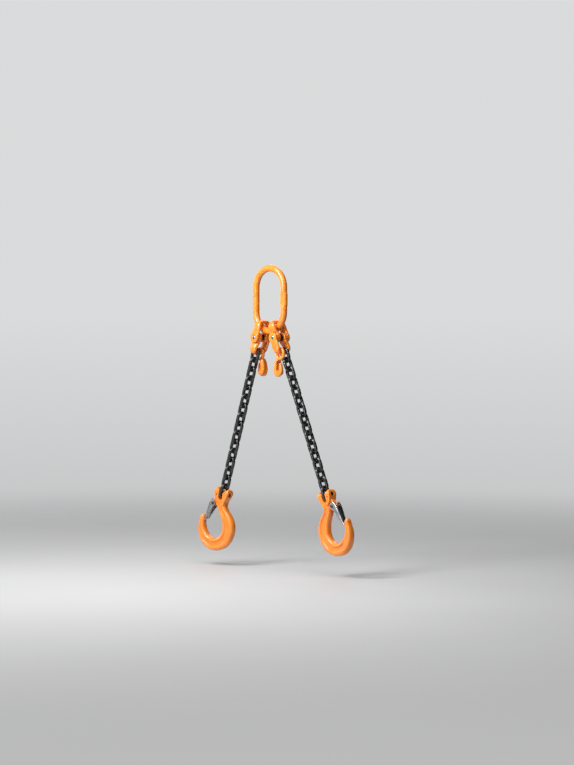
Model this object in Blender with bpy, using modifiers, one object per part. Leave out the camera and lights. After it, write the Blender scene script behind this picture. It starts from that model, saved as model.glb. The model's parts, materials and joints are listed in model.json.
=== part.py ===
"""Two-leg chain sling with shortening hooks and latched clevis hooks.

The sling hangs from the inner crown of its master link, which is the origin.
X runs along the spread of the legs, +Z is up, and both legs lie in the XZ plane.
The left leg is the right leg turned half a turn about Z, with its own angles.
Every size below is in millimetres; meshes are made in metres.
"""
import math

import bmesh
import bpy
from mathutils import Matrix, Vector

MM = 0.001
GAP = 0.3                       # play left where two pieces bear on each other

# Master link
MASTER_BAR = 14.0
MASTER_INNER_LENGTH = 120.0
MASTER_INNER_WIDTH = 70.0
MASTER_FLAT_LENGTH = 28.0       # pressed flat on the right-hand limb
MASTER_FLAT_SQUEEZE = 0.74      # bar thickness left across the flat
MASTER_FLAT_BULGE = 1.22        # bar width gained beside it
SEAT_ANGLE = 40.0               # where a coupling sits on the lower bend, from its lowest point

# Chain
CHAIN_WIRE = 7.0
CHAIN_PITCH = 21.0
CHAIN_INNER_WIDTH = 10.5
LINKS_PER_LEG = 16

# Coupling: two equal halves on one load pin, a sleeve between their knuckles
COUPLING_BAR = 9.2
COUPLING_INNER_LENGTH = 58.0
BOW_HALF_WIDTH = 15.6           # bar centre, at the widest of the bow
BOW_FLAT = 6.0                  # half-length of the straight bottom of the bow
KNUCKLE_RADIUS = 10.6
KNUCKLE_THICKNESS = 7.8
SLEEVE_RADIUS = 6.8
SLEEVE_LENGTH = 10.6
LOAD_PIN_RADIUS = 4.0
SIDE_OFFSET = 6.3               # chain and shortening hook, each side of the bow's middle

# Shortening hook
EYE_BAR = 7.0
EYE_HOLE_RADIUS = 5.9
EYE_STRETCH = 1.28              # the eye is longer below its middle than above
GRAB_BEVEL = 1.6

# Sling hook, in its own frame: origin on the clevis pin, +X towards the opening, +Z up
CLEVIS_PIN_RADIUS = 4.4
CLEVIS_HALF_WIDTH = 18.0
CLEVIS_SLOT = 11.2
CLEVIS_SLOT_DEPTH = 15.0
EAR_RADIUS = 11.0
BOWL_CENTRE = (8.0, -73.0)
BOWL_RADIUS = 30.0
SPINE_FULLNESS = 5.2            # how far the spine's inner edge comes inside that radius
ROLL_PIN_X = 11.0
ROLL_PIN_RADIUS = 1.5
PIN_NECK_RADIUS = 3.0

# Latch, pivoting in a lug under the outer ear
LATCH_PIVOT = (17.0, -26.5)
LATCH_ANGLE = 24.0
LATCH_LENGTH = 48.0
LATCH_HALF_WIDTH = 10.2
LATCH_TOP = 6.0                 # height of the latch above its pivot
LATCH_TAPER = 4.3               # half width lost from its top to its tip
LATCH_SHEET = 1.5
LATCH_PIN_RADIUS = 2.0
LUG_HALF_THICKNESS = 4.6
LUG_RADIUS = 5.6

# Angles of each leg from the vertical, outwards, in degrees
LEGS = {
    "right": {"turn": 0.0, "coupling": 16.5, "chain": 23.0, "hook": 18.5, "twist": -4.0, "grab": -2.0},
    "left": {"turn": 180.0, "coupling": 14.5, "chain": 18.0, "hook": 14.0, "twist": 6.0, "grab": -6.0},
}

FORGED = {"name": "orange_coat", "color": (0.87, 0.25, 0.03), "rough": 0.45, "metal": 0.0}
CHAIN = {"name": "black_chain", "color": (0.02, 0.02, 0.022), "rough": 0.38, "metal": 0.6}
DARK = {"name": "dark_steel", "color": (0.03, 0.03, 0.03), "rough": 0.5, "metal": 0.7}
ZINC = {"name": "zinc_sheet", "color": (0.70, 0.71, 0.73), "rough": 0.3, "metal": 1.0}
SPRING = {"name": "spring_steel", "color": (0.25, 0.25, 0.26), "rough": 0.35, "metal": 1.0}


# ---------------------------------------------------------------- scene and materials

def clear_scene():
    for obj in list(bpy.data.objects):
        bpy.data.objects.remove(obj, do_unlink=True)


def material(finish, node):
    mat = bpy.data.materials.new(finish["name"] + "_" + node)
    mat.use_nodes = True
    shader = mat.node_tree.nodes["Principled BSDF"]
    shader.inputs["Base Color"].default_value = (*finish["color"], 1.0)
    shader.inputs["Roughness"].default_value = finish["rough"]
    shader.inputs["Metallic"].default_value = finish["metal"]
    return mat


def link(obj):
    bpy.data.collections["chain_sling"].objects.link(obj)
    return obj


def new_object(name, mesh):
    return link(bpy.data.objects.new(name, mesh))


def finish_piece(obj, finish, frame, origin):
    """Bake obj's local shape into frame, with the object's origin at the joint point origin."""
    seat = Matrix.Translation(Vector(origin) * MM)
    obj.data.transform(seat.inverted())
    obj.matrix_world = frame @ seat
    obj.data.materials.clear()
    obj.data.materials.append(material(finish, obj.name))
    obj.data.shade_smooth()
    obj.data.set_sharp_from_angle(angle=math.radians(40))
    return obj


# ---------------------------------------------------------------- shape helpers

def bake(obj):
    """Replace obj's data by its evaluated mesh, welded, with no modifiers left."""
    bpy.context.view_layer.update()
    graph = bpy.context.evaluated_depsgraph_get()
    mesh = bpy.data.meshes.new_from_object(obj.evaluated_get(graph))
    work = bmesh.new()
    work.from_mesh(mesh)
    bmesh.ops.remove_doubles(work, verts=work.verts, dist=1e-6)
    work.to_mesh(mesh)
    work.free()
    baked = new_object(obj.name + "_solid", mesh)
    baked.matrix_world = obj.matrix_world.copy()
    name = obj.name
    bpy.data.objects.remove(obj, do_unlink=True)
    baked.name = name
    return baked


def combine(target, tool, operation):
    """Boolean of target with tool, baked at once; the tool is used up."""
    cut = target.modifiers.new("cut", "BOOLEAN")
    cut.operation = operation
    cut.solver = "EXACT"
    cut.object = tool
    tool.hide_render = True
    tool.display_type = "WIRE"
    result = bake(target)
    bpy.data.objects.remove(tool, do_unlink=True)
    return result


def cut_away(target, tool):
    return combine(target, tool, "DIFFERENCE")


def join_to(target, tool):
    return combine(target, tool, "UNION")


def tube(name, points, radius, cyclic=False, resolution=2, tilt=0.0, radii=None):
    """A bar swept along points (mm). Its section has 4 + 2 * resolution sides."""
    curve = bpy.data.curves.new(name, "CURVE")
    curve.dimensions = "3D"
    curve.render_resolution_u = 0
    curve.bevel_depth = radius * MM
    curve.bevel_resolution = resolution
    curve.use_fill_caps = not cyclic
    spline = curve.splines.new("POLY")
    spline.points.add(len(points) - 1)
    spline.use_cyclic_u = cyclic
    for index, point in enumerate(points):
        spline.points[index].co = (*(Vector(point) * MM), 1.0)
        spline.points[index].tilt = tilt
        spline.points[index].radius = radii[index] if radii else 1.0
    return bake(new_object(name, curve))


def cylinder(name, radius, start, end, sides=20):
    """A round bar from start to end (mm), closed at both ends."""
    start = Vector(start) * MM
    end = Vector(end) * MM
    axis = end - start
    mesh = bpy.data.meshes.new(name)
    work = bmesh.new()
    turn = axis.to_track_quat("Z", "Y").to_matrix().to_4x4()
    place = Matrix.Translation((start + end) / 2) @ turn
    bmesh.ops.create_cone(work, cap_ends=True, segments=sides, radius1=radius * MM,
                          radius2=radius * MM, depth=axis.length, matrix=place)
    work.to_mesh(mesh)
    work.free()
    return new_object(name, mesh)


def box(name, low, high):
    """A block between two corners (mm)."""
    low = Vector(low) * MM
    high = Vector(high) * MM
    mesh = bpy.data.meshes.new(name)
    work = bmesh.new()
    bmesh.ops.create_cube(work, size=1.0)
    bmesh.ops.scale(work, vec=high - low, verts=work.verts)
    bmesh.ops.translate(work, vec=(low + high) / 2, verts=work.verts)
    work.to_mesh(mesh)
    work.free()
    return new_object(name, mesh)


def slab(name, outline, half_thickness, bevel=0.0, segments=2, across="Y"):
    """A flat outline given as (x, z) in mm, thickened each way along Y.

    With across="X" the outline is (y, z) and the slab is thickened along X.
    """
    curve = bpy.data.curves.new(name, "CURVE")
    curve.dimensions = "2D"
    curve.fill_mode = "BOTH"
    curve.extrude = half_thickness * MM
    spline = curve.splines.new("POLY")
    spline.points.add(len(outline) - 1)
    spline.use_cyclic_u = True
    for index, (first, second) in enumerate(outline):
        spline.points[index].co = (first * MM, second * MM, 0.0, 1.0)
    obj = bake(new_object(name, curve))
    obj.data.transform(Matrix.Rotation(math.pi / 2, 4, "X"))
    if across == "X":
        obj.data.transform(Matrix.Rotation(math.pi / 2, 4, "Z"))
    if bevel:
        edge = obj.modifiers.new("edge", "BEVEL")
        edge.width = bevel * MM
        edge.segments = segments
        edge.limit_method = "ANGLE"
        edge.angle_limit = math.radians(50)
        obj = bake(obj)
    return obj


def turned(name, profile, along, sides=20):
    """A turned bar on the X or Y axis from (radius, position) steps in mm, ends on the axis."""
    mesh = bpy.data.meshes.new(name)
    corners = [(radius * MM, 0.0, place * MM) for radius, place in profile]
    edges = [(index, index + 1) for index in range(len(corners) - 1)]
    mesh.from_pydata(corners, edges, [])
    obj = new_object(name, mesh)
    screw = obj.modifiers.new("turn", "SCREW")
    screw.steps = sides
    screw.render_steps = sides
    screw.axis = "Z"
    screw.use_merge_vertices = True
    screw.merge_threshold = 1e-5
    obj = bake(obj)
    turn = Matrix.Rotation(math.pi / 2, 4, "Y" if along == "X" else "X")
    obj.data.transform(turn)
    return obj


def loft(name, rings):
    """A closed skin over rings of equal point count (mm), with flat ends."""
    mesh = bpy.data.meshes.new(name)
    work = bmesh.new()
    rows = [[work.verts.new(Vector(point) * MM) for point in ring] for ring in rings]
    count = len(rows[0])
    for row, following in zip(rows, rows[1:]):
        for index in range(count):
            after = (index + 1) % count
            work.faces.new((row[index], row[after], following[after], following[index]))
    work.faces.new(list(reversed(rows[0])))
    work.faces.new(rows[-1])
    bmesh.ops.recalc_face_normals(work, faces=work.faces)
    work.to_mesh(mesh)
    work.free()
    return new_object(name, mesh)


def arc(centre, radius, start, end, count):
    """Points (x, z) on an arc, angles in degrees from +X towards +Z."""
    points = []
    for index in range(count):
        angle = math.radians(start + (end - start) * index / (count - 1))
        points.append((centre[0] + radius * math.cos(angle), centre[1] + radius * math.sin(angle)))
    return points


def circumscribed(radius, sides):
    """Corner radius of a regular outline whose flats lie at radius."""
    return radius / math.cos(math.pi / sides)


def frame_at(leg, x, y, z, angle):
    """Frame in leg's own plane: +X outwards, +Z back up the piece, tilted outwards by angle."""
    turn = Matrix.Rotation(math.radians(LEGS[leg]["turn"]), 4, "Z")
    tilt = Matrix.Rotation(-math.radians(angle), 4, "Y")
    return turn @ Matrix.Translation(Vector((x, y, z)) * MM) @ tilt


def step_down(point, angle, distance):
    """The point reached by going distance down a line tilted outwards by angle."""
    angle = math.radians(angle)
    return (point[0] + distance * math.sin(angle), point[1] - distance * math.cos(angle))


# ---------------------------------------------------------------- where the pieces hang

BEND_CENTRE_Z = -(MASTER_INNER_LENGTH - MASTER_INNER_WIDTH / 2)
BEND_RADIUS = (MASTER_INNER_WIDTH + MASTER_BAR) / 2
COUPLING_REACH = (COUPLING_INNER_LENGTH + COUPLING_BAR) / 2      # load pin to bow bar
LINK_HALF_LENGTH = (CHAIN_PITCH + CHAIN_WIRE) / 2                # to the crown's bar centre
LINK_HALF_WIDTH = (CHAIN_INNER_WIDTH + CHAIN_WIRE) / 2
LINK_STEP = CHAIN_PITCH - GAP


def layout(leg):
    """Centres (x, z) of one leg's pieces in its own plane."""
    angles = LEGS[leg]
    bend = (0.0, BEND_CENTRE_Z)
    bow_reach = MASTER_INNER_WIDTH / 2 - COUPLING_BAR / 2 - GAP
    crown = step_down(bend, SEAT_ANGLE, bow_reach)
    load_pin = step_down(crown, angles["coupling"], COUPLING_REACH)
    bow = step_down(load_pin, angles["coupling"], COUPLING_REACH)
    overlap = COUPLING_BAR / 2 + GAP + CHAIN_WIRE / 2
    first = step_down(bow, angles["chain"], LINK_HALF_LENGTH - overlap)
    links = [step_down(first, angles["chain"], LINK_STEP * index) for index in range(LINKS_PER_LEG)]
    pin_rise = CHAIN_WIRE / 2 + GAP + CLEVIS_PIN_RADIUS
    clevis = step_down(links[-1], angles["chain"], LINK_HALF_LENGTH - pin_rise)
    return {
        "bar": step_down(bend, SEAT_ANGLE, BEND_RADIUS),
        "load_pin": load_pin,
        "bow": bow,
        "links": links,
        "clevis": clevis,
    }


# ---------------------------------------------------------------- master link

def master_link():
    sides = 12
    steps = 12
    half_step = 90.0 / steps
    radius = BEND_RADIUS / math.cos(math.radians(half_step))
    top = arc((0, -MASTER_INNER_WIDTH / 2), radius, half_step, 180 - half_step, steps)
    bottom = arc((0, BEND_CENTRE_Z), radius, 180 + half_step, 360 - half_step, steps)
    middle = (-MASTER_INNER_WIDTH / 2 + BEND_CENTRE_Z) / 2
    limb = [middle + MASTER_FLAT_LENGTH * part for part in (0.75, 0.45, 0.25, 0, -0.25, -0.45, -0.75)]
    left = [(-BEND_RADIUS, middle)]
    right = [(BEND_RADIUS, height) for height in reversed(limb)]
    path = [(x, 0.0, z) for x, z in top + left + bottom + right]
    bar = circumscribed(MASTER_BAR / 2, sides)
    obj = tube("master_link", path, bar, cyclic=True, resolution=4, tilt=math.pi / sides)
    press_flat(obj, middle)
    return finish_piece(obj, FORGED, Matrix.Identity(4), (0, 0, 0))


def press_flat(obj, middle):
    """Squeeze the right-hand limb across Y, so that it bulges in the plane of the link."""
    for vert in obj.data.vertices:
        if vert.co.x < (BEND_RADIUS - MASTER_BAR) * MM:
            continue
        reach = abs(vert.co.z / MM - middle) / (MASTER_FLAT_LENGTH / 2)
        share = min(1.0, max(0.0, (1.5 - reach) / 0.9))
        share = share * share * (3 - 2 * share)
        vert.co.y *= 1 + (MASTER_FLAT_SQUEEZE - 1) * share
        limb = BEND_RADIUS * MM
        vert.co.x = limb + (vert.co.x - limb) * (1 + (MASTER_FLAT_BULGE - 1) * share)


# ---------------------------------------------------------------- coupling

def swept(name, path, across, sides=10):
    """A forged bar along path, given as (y, z), with its own width across X at each point."""
    rings = []
    for index, (y, z) in enumerate(path):
        before = Vector(path[max(index - 1, 0)])
        after = Vector(path[min(index + 1, len(path) - 1)])
        along = (after - before).normalized()
        normal = Vector((0, -along.y, along.x))
        wide, deep = across[index]
        ring = []
        for side in range(sides):
            angle = 2 * math.pi * (side + 0.5) / sides
            ring.append(Vector((wide * math.cos(angle), y, z)) + normal * deep * math.sin(angle))
        rings.append(ring)
    return loft(name, rings)


def coupling_half(name):
    """One half, bow upwards, with the load pin's axis on Y through the origin.

    Its knuckle at +Y is the outer one, the knuckle at -Y the inner one.
    """
    inner = SLEEVE_LENGTH / 2 + GAP + KNUCKLE_THICKNESS / 2
    outer = inner + KNUCKLE_THICKNESS + GAP
    crown = COUPLING_REACH
    corner = BOW_HALF_WIDTH - BOW_FLAT
    shoulder = crown - corner
    right = arc((BOW_FLAT, shoulder), corner, 0, 90, 4)
    left = arc((-BOW_FLAT, shoulder), corner, 90, 180, 4)
    clear = KNUCKLE_RADIUS + 1.2
    path = [(outer, 1.0), (outer, clear - 2), *right, *left, (-inner, clear), (-inner, 1.0)]
    bar = COUPLING_BAR / 2
    root = (10.0, KNUCKLE_THICKNESS / 2 - 0.2)
    neck = (9.8, KNUCKLE_THICKNESS / 2 - 0.4)
    arm = (8.8, bar - 0.2)
    across = [root, neck, arm, (7.2, bar), (bar, bar), (bar, bar)]
    across += list(reversed(across))
    obj = swept(name, path, across)
    for place in (outer, -inner):
        start = (0, place - KNUCKLE_THICKNESS / 2, 0)
        end = (0, place + KNUCKLE_THICKNESS / 2, 0)
        obj = join_to(obj, cylinder("knuckle", KNUCKLE_RADIUS, start, end, 20))
    hole = circumscribed(LOAD_PIN_RADIUS + GAP, 20)
    reach = outer + KNUCKLE_THICKNESS
    return cut_away(obj, cylinder("bore", hole, (0, -reach, 0), (0, reach, 0), 20))


def coupling(leg, places):
    angle = LEGS[leg]["coupling"]
    x, z = places["load_pin"]
    frame = frame_at(leg, x, 0, z, angle)
    bar = Vector((places["bar"][0] - x, 0, places["bar"][1] - z))
    bar = Matrix.Rotation(math.radians(angle), 3, "Y") @ bar
    upper = coupling_half(leg + "_coupling_upper_half")
    finish_piece(upper, FORGED, frame, bar)
    lower = coupling_half(leg + "_coupling_lower_half")
    lower.data.transform(Matrix.Rotation(math.pi, 4, "X"))
    finish_piece(lower, FORGED, frame, (0, 0, 0))

    half = SLEEVE_LENGTH / 2
    sleeve = cylinder(leg + "_coupling_sleeve", SLEEVE_RADIUS, (0, -half, 0), (0, half, 0), 20)
    bore = cylinder("bore", circumscribed(LOAD_PIN_RADIUS + GAP, 20), (0, -20, 0), (0, 20, 0), 20)
    finish_piece(cut_away(sleeve, bore), DARK, frame, (0, 0, 0))

    end = half + 2 * (GAP + KNUCKLE_THICKNESS) - 0.6
    chamfer = 0.8
    profile = [(0, end), (LOAD_PIN_RADIUS - chamfer, end), (LOAD_PIN_RADIUS, end - chamfer),
               (LOAD_PIN_RADIUS, chamfer - end), (LOAD_PIN_RADIUS - chamfer, -end), (0, -end)]
    pin = turned(leg + "_coupling_pin", profile, "Y")
    finish_piece(pin, ZINC, frame, (0, 0, 0))


# ---------------------------------------------------------------- shortening hook

def grab_hook(leg, places):
    """Eye and slotted body in one plane, hanging from the bow's bar at the origin.

    The slotted plate lies clear of the leg's own chain; the back fills in beside it.
    """
    drop = EYE_HOLE_RADIUS - COUPLING_BAR / 2 - GAP
    eye_radius = EYE_HOLE_RADIUS + EYE_BAR / 2
    eye = [(x, 0.0, z if z > 0 else z * EYE_STRETCH) for x, z in arc((0, 0), eye_radius, 0, 330, 12)]
    obj = tube(leg + "_grab_hook", eye, EYE_BAR / 2, cyclic=True, resolution=2, tilt=math.pi / 8)
    slot_in = -2.5
    slot_out = 5.6
    pocket = ((slot_in + slot_out) / 2, -34.0)
    pocket_radius = (slot_out - slot_in) / 2
    back = [(-5.4, -11.5), (-9.6, -17.5), (-12.2, -25.0), (-12.9, -33.5)]
    slot = arc(pocket, pocket_radius, 0, -180, 6) + [(slot_in, -20.0), (1.6, -14.0)]
    outer_arm = [(12.6, -30.0), (10.6, -23.5), (slot_out, -21.0)]
    plate = slab("plate", back + arc((0, -37.2), 12.8, 193, 347, 7) + outer_arm + slot, 4.9,
                 GRAB_BEVEL, 1)
    plate.data.transform(Matrix.Translation((0, -4.9 * MM, 0)))
    fill = [(-5.0, -12.4), (-9.0, -18.0), (-11.5, -25.5), (-12.1, -33.5)]
    fill += arc((-1.0, -36.8), 10.8, 198, 335, 5) + [(5.6, -39.4), (0.0, -38.9)]
    fill += [(slot_in - 0.7, -34.4), (slot_in - 0.7, -20.4), (0.4, -14.8)]
    cheek = slab("cheek", fill, 5.4, GRAB_BEVEL, 1)
    cheek.data.transform(Matrix.Translation((0, 1.0 * MM, 0)))
    obj = join_to(join_to(obj, plate), cheek)
    obj.data.transform(Matrix.Translation((0, 0, -drop * MM)))
    x, z = places["bow"]
    finish_piece(obj, FORGED, frame_at(leg, x, -SIDE_OFFSET, z, LEGS[leg]["grab"]), (0, 0, 0))


# ---------------------------------------------------------------- chain

def link_path():
    """Centre line of one link in the XZ plane, with a corner at each crown."""
    straight = LINK_HALF_LENGTH - LINK_HALF_WIDTH
    top = arc((0, straight), LINK_HALF_WIDTH, 0, 180, 7)
    bottom = arc((0, -straight), LINK_HALF_WIDTH, 180, 360, 7)
    return top + bottom


def chain(leg, places):
    """Odd links lie in the plane of the legs, even links across it."""
    for number, (x, z) in enumerate(places["links"], start=1):
        name = f"{leg}_chain_link_{number:02d}"
        points = [(px, 0.0, pz) for px, pz in link_path()]
        if number % 2 == 0:
            points = [(0.0, px, pz) for px, pz in link_path()]
        obj = tube(name, points, CHAIN_WIRE / 2, cyclic=True, resolution=2, tilt=math.pi / 8)
        above = COUPLING_BAR / 2 if number == 1 else CHAIN_WIRE / 2
        pivot = (0, 0, LINK_HALF_LENGTH - CHAIN_WIRE / 2 - GAP - above)
        frame = frame_at(leg, x, SIDE_OFFSET, z, LEGS[leg]["chain"])
        finish_piece(obj, CHAIN, frame, pivot)


# ---------------------------------------------------------------- sling hook

def hook_section(inner, outer, thickness):
    """Ring of ten points between two edge points (x, z): flat inside, fuller behind."""
    half = thickness / 2
    shape = [(0.0, 0.40), (0.14, 0.86), (0.45, 1.0), (0.82, 0.84), (1.0, 0.42)]
    inner = Vector((inner[0], 0, inner[1]))
    outer = Vector((outer[0], 0, outer[1]))
    near = [inner.lerp(outer, share) + Vector((0, -half * side, 0)) for share, side in shape]
    far = [inner.lerp(outer, share) + Vector((0, half * side, 0)) for share, side in shape]
    return near + list(reversed(far))


def bowl_width(angle):
    """Depth of the forging round the bowl, angle in degrees: 180 spine, 270 bottom, 360 tip."""
    stops = [(180, 25.0), (225, 27.5), (285, 26.5), (320, 19.5), (360, 11.8)]
    for (low, first), (high, second) in zip(stops, stops[1:]):
        if angle <= high:
            share = (angle - low) / (high - low)
            return first + (second - first) * share
    return stops[-1][1]


def bowl_inside(angle):
    """Distance of the bowl's inner edge from its centre: drawn in towards the spine."""
    return BOWL_RADIUS - SPINE_FULLNESS * max(0.0, (262 - angle) / 82) ** 1.3


def hook_rings():
    rings = [
        hook_section((8.0, -12.0), (-10.0, -12.0), 17.0),
        hook_section((6.5, -27.0), (-13.0, -24.0), 17.0),
        hook_section((2.5, -39.0), (-19.5, -34.0), 17.0),
        hook_section((-6.0, -50.0), (-33.0, -44.0), 17.5),
        hook_section((-12.8, -61.0), (-42.5, -57.0), 18.0),
    ]
    for angle in (180, 200, 222, 244, 262, 278, 296, 316, 338, 360):
        inner = arc(BOWL_CENTRE, bowl_inside(angle), angle, angle, 2)[0]
        outer = arc(BOWL_CENTRE, BOWL_RADIUS + bowl_width(angle), angle, angle, 2)[0]
        thickness = 19.0 if angle < 300 else 19.0 - 5.0 * (angle - 300) / 60
        rings.append(hook_section(inner, outer, thickness))
    rings.append(hook_section((39.3, -66.5), (50.0, -65.5), 13.0))
    rings.append(hook_section((42.5, -61.0), (48.3, -61.0), 8.5))
    return rings


def clevis_block():
    """Two ears round the pin: the overlap of a front outline and a side outline."""
    wide = CLEVIS_HALF_WIDTH
    front = [(wide - 5.0, 11.8), (wide - 1.4, 9.0), (wide, 4.0), (wide, -4.0), (16.0, -10.0),
             (12.5, -16.0), (7.0, -21.0), (-8.5, -30.0), (-11.2, -24.0), (-12.4, -17.0),
             (-15.0, -10.5), (-wide, -3.0), (-wide, 4.0), (1.4 - wide, 9.0), (5.0 - wide, 11.8)]
    block = slab("clevis", front, EAR_RADIUS + 2)
    side = arc((0, 0), EAR_RADIUS, -20, 200, 12) + [(-8.8, -32.0), (8.8, -32.0)]
    return combine(block, slab("side", side, wide + 5, across="X"), "INTERSECT")


def latch_lug():
    """The tongue under the outer ear that the latch pivots on."""
    x, z = LATCH_PIVOT
    outline = [(3.0, -12.0), (3.0, -31.0)] + arc((x, z), LUG_RADIUS, 230, 380, 8) + [(15.0, -8.0)]
    return slab("lug", outline, LUG_HALF_THICKNESS)


def sling_hook_body(name):
    obj = loft(name, hook_rings())
    obj = join_to(obj, clevis_block())
    obj = join_to(obj, latch_lug())
    half = CLEVIS_SLOT / 2
    floor = CLEVIS_SLOT_DEPTH - half
    flare = half + 8.0
    slot = [(half, 3.5), (flare, 14.0), (flare, 20.0), (-flare, 20.0), (-flare, 14.0), (-half, 3.5)]
    slot += arc((0, -floor), half, 180, 360, 7)
    obj = cut_away(obj, slab("slot", slot, 20.0))
    hole = circumscribed(CLEVIS_PIN_RADIUS + GAP, 20)
    obj = cut_away(obj, cylinder("bore", hole, (-30, 0, 0), (30, 0, 0), 20))
    drop = PIN_NECK_RADIUS + GAP + ROLL_PIN_RADIUS
    hole = circumscribed(ROLL_PIN_RADIUS + GAP, 10)
    bore = cylinder("bore", hole, (ROLL_PIN_X, -20, -drop), (ROLL_PIN_X, 20, -drop), 10)
    obj = cut_away(obj, bore)
    x, z = LATCH_PIVOT
    hole = circumscribed(LATCH_PIN_RADIUS + GAP, 12)
    return cut_away(obj, cylinder("bore", hole, (x, -20, z), (x, 20, z), 12))


def clevis_pin(name):
    """Load pin on X with a neck that the roll pin locks."""
    end = CLEVIS_HALF_WIDTH - 0.8
    chamfer = 0.8
    neck = ROLL_PIN_RADIUS + 0.6
    full = CLEVIS_PIN_RADIUS
    profile = [(0, end), (full - chamfer, end), (full, end - chamfer),
               (full, ROLL_PIN_X + neck), (PIN_NECK_RADIUS, ROLL_PIN_X + neck),
               (PIN_NECK_RADIUS, ROLL_PIN_X - neck), (full, ROLL_PIN_X - neck),
               (full, chamfer - end), (full - chamfer, -end), (0, -end)]
    return turned(name, profile, "X")


def latch_narrowing(z):
    """Half width the latch has lost at height z above its pivot."""
    return LATCH_TAPER * (LATCH_TOP - z) / (LATCH_TOP + LATCH_LENGTH)


def latch_body(name):
    """Sheet channel, open towards the bowl; origin on its pivot, +Z back up the latch."""
    end = -LATCH_LENGTH
    cheek = [(10.3, 3.0), (8.6, LATCH_TOP), (3.0, LATCH_TOP), (-3.0, 4.6), (-5.2, 1.0), (-5.4, -5.0)]
    cheek += [(-5.4, -14.0), (-4.6, -30.0), (-3.4, end + 5), (-1.4, end), (1.2, end)]
    cheek += [(4.4, -34.0), (9.4, -14.0), (10.6, -4.0)]
    obj = slab(name, cheek, LATCH_HALF_WIDTH)
    hollow = [(8.7, 12.0), (-12.0, 12.0), (-12.0, end - 6), (-0.6, end - 6), (-0.3, end)]
    hollow += [(2.9, -34.0), (7.9, -14.0), (9.1, -4.0), (8.8, 5.0)]
    hollow_width = LATCH_HALF_WIDTH - LATCH_SHEET
    obj = cut_away(obj, slab("hollow", hollow, hollow_width))
    window = [(-5.4, 12.0), (-5.4, -5.5), (-3.2, -9.0), (3.2, -9.0), (5.4, -5.5), (5.4, 12.0)]
    obj = cut_away(obj, slab("window", window, 20.0, across="X"))
    for vert in obj.data.vertices:
        vert.co.y -= math.copysign(latch_narrowing(vert.co.z / MM) * MM, vert.co.y)
    hole = circumscribed(LATCH_PIN_RADIUS + GAP, 12)
    return cut_away(obj, cylinder("bore", hole, (0, -20, 0), (0, 20, 0), 12))


def latch_pin(name):
    """Rivet through lug and cheeks, headed outside each cheek."""
    cheek = LATCH_HALF_WIDTH - latch_narrowing(0) + GAP
    end = cheek + 1.0
    head = 3.2
    shank = LATCH_PIN_RADIUS
    profile = [(0, end), (head - 0.4, end), (head, end - 0.4), (head, cheek), (shank, cheek),
               (shank, -cheek), (head, -cheek), (head, 0.4 - end), (head - 0.4, -end), (0, -end)]
    return turned(name, profile, "Y", 12)


def latch_spring(name):
    """Torsion spring beside the lug, one leg down the channel, one short leg up."""
    wire = 0.45
    radius = 3.4
    start = LUG_HALF_THICKNESS + GAP + wire
    turns = 2
    per_turn = 10
    rise = 2 * wire + 0.05
    points = [(-radius - 0.4, start, 2.2)]
    for index in range(turns * per_turn + 1):
        angle = math.pi + 2 * math.pi * index / per_turn
        x = radius * math.cos(angle)
        z = radius * math.sin(angle)
        points.append((x, start + rise * index / per_turn, z))
    side = points[-1][1]
    points += [(-2.2, side - 0.3, -6.0), (1.0, side - 1.2, -16.0), (1.6, side - 2.0, -21.0)]
    return tube(name, points, wire, resolution=1)


def sling_hook(leg, places):
    x, z = places["clevis"]
    angle = LEGS[leg]["hook"]
    frame = frame_at(leg, x, SIDE_OFFSET, z, angle)
    frame = frame @ Matrix.Rotation(math.radians(LEGS[leg]["twist"]), 4, "Z")
    finish_piece(sling_hook_body(leg + "_sling_hook"), FORGED, frame, (0, 0, 0))
    finish_piece(clevis_pin(leg + "_clevis_pin"), DARK, frame, (0, 0, 0))
    drop = PIN_NECK_RADIUS + GAP + ROLL_PIN_RADIUS
    reach = 8.6
    roll = cylinder(leg + "_clevis_roll_pin", ROLL_PIN_RADIUS, (ROLL_PIN_X, -reach, -drop),
                    (ROLL_PIN_X, reach, -drop), 10)
    finish_piece(roll, DARK, frame, (ROLL_PIN_X, 0, -drop))

    pivot = (LATCH_PIVOT[0], 0, LATCH_PIVOT[1])
    latch_frame = (frame @ Matrix.Translation(Vector(pivot) * MM)
                   @ Matrix.Rotation(-math.radians(LATCH_ANGLE), 4, "Y"))
    finish_piece(latch_body(leg + "_latch"), ZINC, latch_frame, (0, 0, 0))
    finish_piece(latch_pin(leg + "_latch_pin"), DARK, latch_frame, (0, 0, 0))
    finish_piece(latch_spring(leg + "_latch_spring"), SPRING, latch_frame, (0, 0, 0))


# ---------------------------------------------------------------- the sling

def main():
    clear_scene()
    collection = bpy.data.collections.new("chain_sling")
    bpy.context.scene.collection.children.link(collection)
    master_link()
    for leg in LEGS:
        places = layout(leg)
        coupling(leg, places)
        grab_hook(leg, places)
        chain(leg, places)
        sling_hook(leg, places)


main()
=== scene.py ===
"""Fine surfaces, finishes and studio for the two-leg chain sling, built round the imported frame.

Shapes are modelled in millimetres in each piece's own frame, then set on the frame in metres.
The left leg is the right leg turned half a turn about Z, so both legs share their meshes.
"""
import json
import math

import bmesh
import bpy
import numpy as np
from mathutils import Matrix, Vector, noise

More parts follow.
